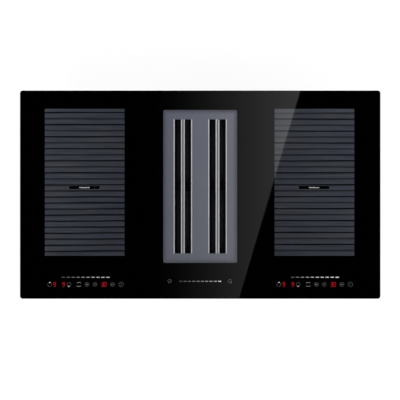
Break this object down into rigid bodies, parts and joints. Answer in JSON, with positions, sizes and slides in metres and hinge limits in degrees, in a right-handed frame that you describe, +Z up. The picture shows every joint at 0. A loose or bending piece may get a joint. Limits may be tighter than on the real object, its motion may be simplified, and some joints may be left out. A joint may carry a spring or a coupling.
{
  "type": "downdraft induction cooktop",
  "caption": "Built-in induction cooktop: black glass plate with two long zones, a lift-out intake grille, grease filter, drip tray and a blower with a flat rear duct below.",
  "frame": {"origin": "centre of the worktop cut-out, on the worktop's top surface, where the seal rests", "axes": "+X to the right as the cook stands before it, +Y to the rear, +Z up out of the worktop"},
  "size_m": [0.9, 0.52, 0.2188],
  "materials": {
    "black_glass": "gloss",
    "foam": "matte",
    "galvanised": "satin",
    "black_plastic": "matte",
    "grille_grey": "satin",
    "trim_chrome": "polished",
    "silicone": "matte",
    "filter_aluminium": "satin",
    "aluminium": "satin",
    "tray_plastic": "satin",
    "wheel_plastic": "satin",
    "steel": "satin",
    "motor_casting": "matte",
    "lamination": "satin",
    "copper": "satin",
    "ferrite": "matte",
    "mica": "satin",
    "circuit_board": "satin",
    "component": "satin",
    "white_plastic": "satin",
    "red_display": "gloss",
    "terminal_grey": "matte",
    "zinc": "satin"
  },
  "bodies": {
    "chassis": {"glass_top": "black_glass", "worktop_seal": "foam", "carrier_frame": "galvanised", "base_pan": "galvanised", "intake_foam": "foam", "intake_frame": "black_plastic", "plenum_box": "black_plastic", "drain_plug": "black_plastic", "scroll_cover": "black_plastic", "scroll_housing": "black_plastic", "motor_base": "motor_casting", "motor_bearings": "steel", "motor_stator": "lamination", "motor_bushes": "silicone", "outlet_adapter": "black_plastic", "flap_pin": "steel", "control_box": "galvanised", "control_box_lid": "galvanised", "control_board": "circuit_board", "coil_carrier_left": "aluminium", "coil_carrier_right": "aluminium", "coils_left": "copper", "coils_right": "copper", "ferrites": "ferrite", "mica_sheets": "mica", "cooling_fans": "black_plastic", "power_boards": "circuit_board", "heat_sinks": "aluminium", "power_components": "component", "temperature_sensors": "white_plastic", "carrier_brackets": "galvanised", "carrier_springs": "steel", "touch_boards": "circuit_board", "light_guides": "white_plastic", "touch_springs": "steel", "digit_modules": "red_display", "filter_board": "circuit_board", "terminal_block": "terminal_grey", "terminal_cover": "black_plastic", "cable_gland": "black_plastic", "clamp_screws": "zinc", "chassis_screws": "zinc"},
    "drip_tray": {"drip_tray": "tray_plastic"},
    "grease_filter": {"filter_frame": "filter_aluminium", "filter_mesh": "filter_aluminium", "filter_handle": "black_plastic"},
    "grille": {"grille_plate": "grille_grey", "grille_trims": "trim_chrome", "grille_pads": "silicone"},
    "blower_wheel": {"impeller": "wheel_plastic", "motor_rotor": "steel", "motor_shaft": "steel"},
    "flap": {"backdraft_flap": "black_plastic"},
    "fan_rotor_left": {"cooling_rotor_left": "black_plastic"},
    "fan_rotor_right": {"cooling_rotor_right": "black_plastic"},
    "clamp_front_left": {"clamp_front_left": "galvanised"},
    "clamp_front_right": {"clamp_front_right": "galvanised"},
    "clamp_rear_left": {"clamp_rear_left": "galvanised"},
    "clamp_rear_right": {"clamp_rear_right": "galvanised"}
  },
  "joints": [
    {"name": "tray_lift", "type": "slide", "parent": "chassis", "child": "drip_tray", "axis": [0, 0, 1], "range_m": [0, 0.13]},
    {"name": "filter_lift", "type": "slide", "parent": "drip_tray", "child": "grease_filter", "axis": [0, 0, 1], "range_m": [0, 0.06]},
    {"name": "grille_lift", "type": "slide", "parent": "grease_filter", "child": "grille", "axis": [0, 0, 1], "range_m": [0, 0.03]},
    {"name": "blower_spin", "type": "hinge", "parent": "chassis", "child": "blower_wheel", "pos_m": [-0.03, 0.062, 0], "axis": [0, 0, 1], "continuous": true},
    {"name": "flap_swing", "type": "hinge", "parent": "chassis", "child": "flap", "pos_m": [0.04, 0.236, -0.1215], "axis": [1, 0, 0], "range_deg": [0, 70]},
    {"name": "fan_spin_left", "type": "hinge", "parent": "chassis", "child": "fan_rotor_left", "pos_m": [-0.287, -0.1564, -0.04], "axis": [0, 0, 1], "continuous": true},
    {"name": "fan_spin_right", "type": "hinge", "parent": "chassis", "child": "fan_rotor_right", "pos_m": [0.287, -0.1564, -0.04], "axis": [0, 0, 1], "continuous": true},
    {"name": "clamp_swing_front_left", "type": "hinge", "parent": "chassis", "child": "clamp_front_left", "pos_m": [-0.33, -0.2264, -0.0535], "axis": [0, 0, -1], "range_deg": [0, 90]},
    {"name": "clamp_swing_front_right", "type": "hinge", "parent": "chassis", "child": "clamp_front_right", "pos_m": [0.33, -0.2264, -0.0535], "axis": [0, 0, 1], "range_deg": [0, 90]},
    {"name": "clamp_swing_rear_left", "type": "hinge", "parent": "chassis", "child": "clamp_rear_left", "pos_m": [-0.33, 0.2264, -0.0535], "axis": [0, 0, 1], "range_deg": [0, 90]},
    {"name": "clamp_swing_rear_right", "type": "hinge", "parent": "chassis", "child": "clamp_rear_right", "pos_m": [0.33, 0.2264, -0.0535], "axis": [0, 0, -1], "range_deg": [0, 90]}
  ]
}
